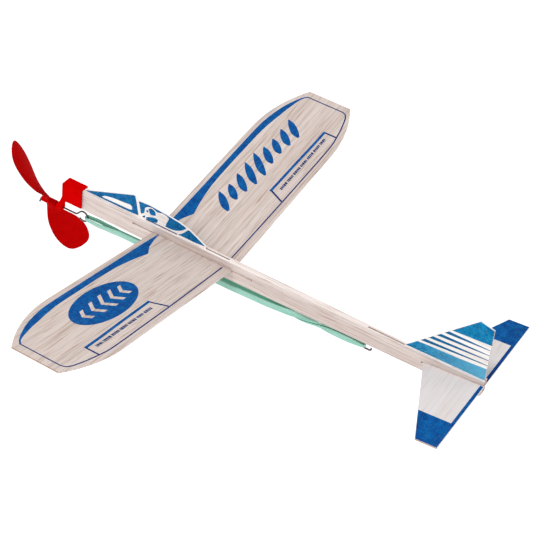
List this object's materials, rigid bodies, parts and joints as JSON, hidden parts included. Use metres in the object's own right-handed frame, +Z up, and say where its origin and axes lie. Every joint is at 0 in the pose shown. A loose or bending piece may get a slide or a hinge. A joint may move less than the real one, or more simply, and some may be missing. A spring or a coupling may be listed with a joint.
{
  "type": "rubber band plane",
  "caption": "Balsa stick model aeroplane with a slotted dihedral wing, blue printed tail and canopy, red plastic propeller and a rubber band motor.",
  "frame": {"origin": "on the motor stick's flat top face, on its centre line, just behind the wing", "axes": "+X towards the nose, +Y to the left wing tip, +Z up, square to the motor stick's top face"},
  "size_m": [0.2654, 0.267, 0.1063],
  "materials": {
    "balsa_stick": "bare sanded balsa, grain along the stick",
    "balsa_sheet": "bare balsa sheet with a printed blue pattern",
    "printed_fin": "balsa sheet printed in blue bands",
    "printed_canopy": "balsa sheet printed in blue with a pale border",
    "red_plastic": "injection moulded, satin gloss",
    "wire": "bare drawn steel wire",
    "rubber": "matt pale green strip rubber"
  },
  "bodies": {
    "fuselage": {"motor_stick": "balsa_stick", "stabilizer": "balsa_sheet", "fin": "printed_fin", "canopy_panel": "printed_canopy", "nose_bearing": "red_plastic", "rear_hook": "wire", "rubber_band": "rubber"},
    "wing": {"wing": "balsa_sheet"},
    "propeller": {"propeller": "red_plastic", "propeller_shaft": "wire"}
  },
  "joints": [
    {"name": "wing_slide", "type": "slide", "parent": "fuselage", "child": "wing", "axis": [1, 0, 0], "range_m": [-0.012, 0.012]},
    {"name": "propeller_spin", "type": "hinge", "parent": "fuselage", "child": "propeller", "pos_m": [0.1, 0, -0.0186], "axis": [1, 0, 0], "continuous": true, "deforming": ["rubber_band"]}
  ]
}
